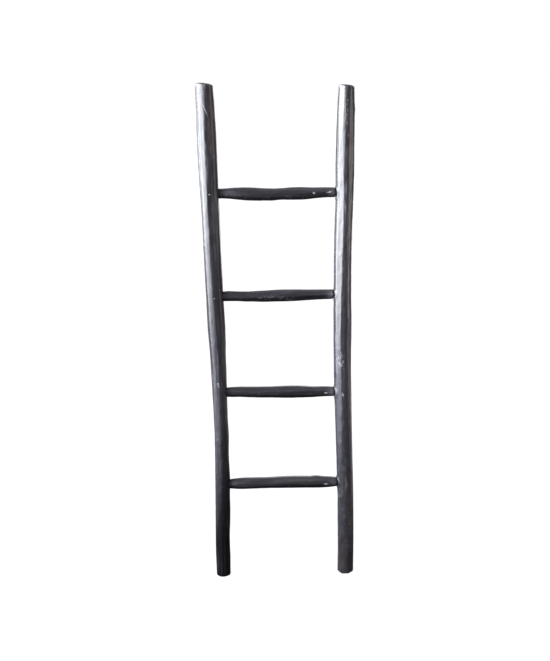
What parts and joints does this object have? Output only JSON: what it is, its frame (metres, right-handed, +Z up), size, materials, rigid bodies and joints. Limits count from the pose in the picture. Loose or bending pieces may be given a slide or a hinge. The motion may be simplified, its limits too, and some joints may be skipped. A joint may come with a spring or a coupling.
{
  "type": "decorative ladder",
  "caption": "Rustic pole ladder of crooked, dark-stained wooden rails with hand-hewn rungs pinned into them, leaned on a wall to hang blankets and towels.",
  "frame": {"origin": "on the floor, midway between the feet, under the middle of the ladder's box", "axes": "+Z up along the rails, +X to the right seen from the front, -Y towards the front; the ladder stands upright in its frame and leans back on a wall in use"},
  "size_m": [0.4434, 0.0585, 1.5008],
  "materials": {
    "rail_wood": "near-black stain under satin lacquer, worn paler in spots",
    "rung_wood": "near-black stain under satin lacquer, whittled",
    "nail_steel": "plain headless wire nail, stain rubbed off its end"
  },
  "bodies": {
    "root": {"left_rail": "rail_wood", "right_rail": "rail_wood", "bottom_rung": "rung_wood", "lower_rung": "rung_wood", "upper_rung": "rung_wood", "top_rung": "rung_wood", "left_nails": "nail_steel", "right_nails": "nail_steel"}
  },
  "joints": []
}
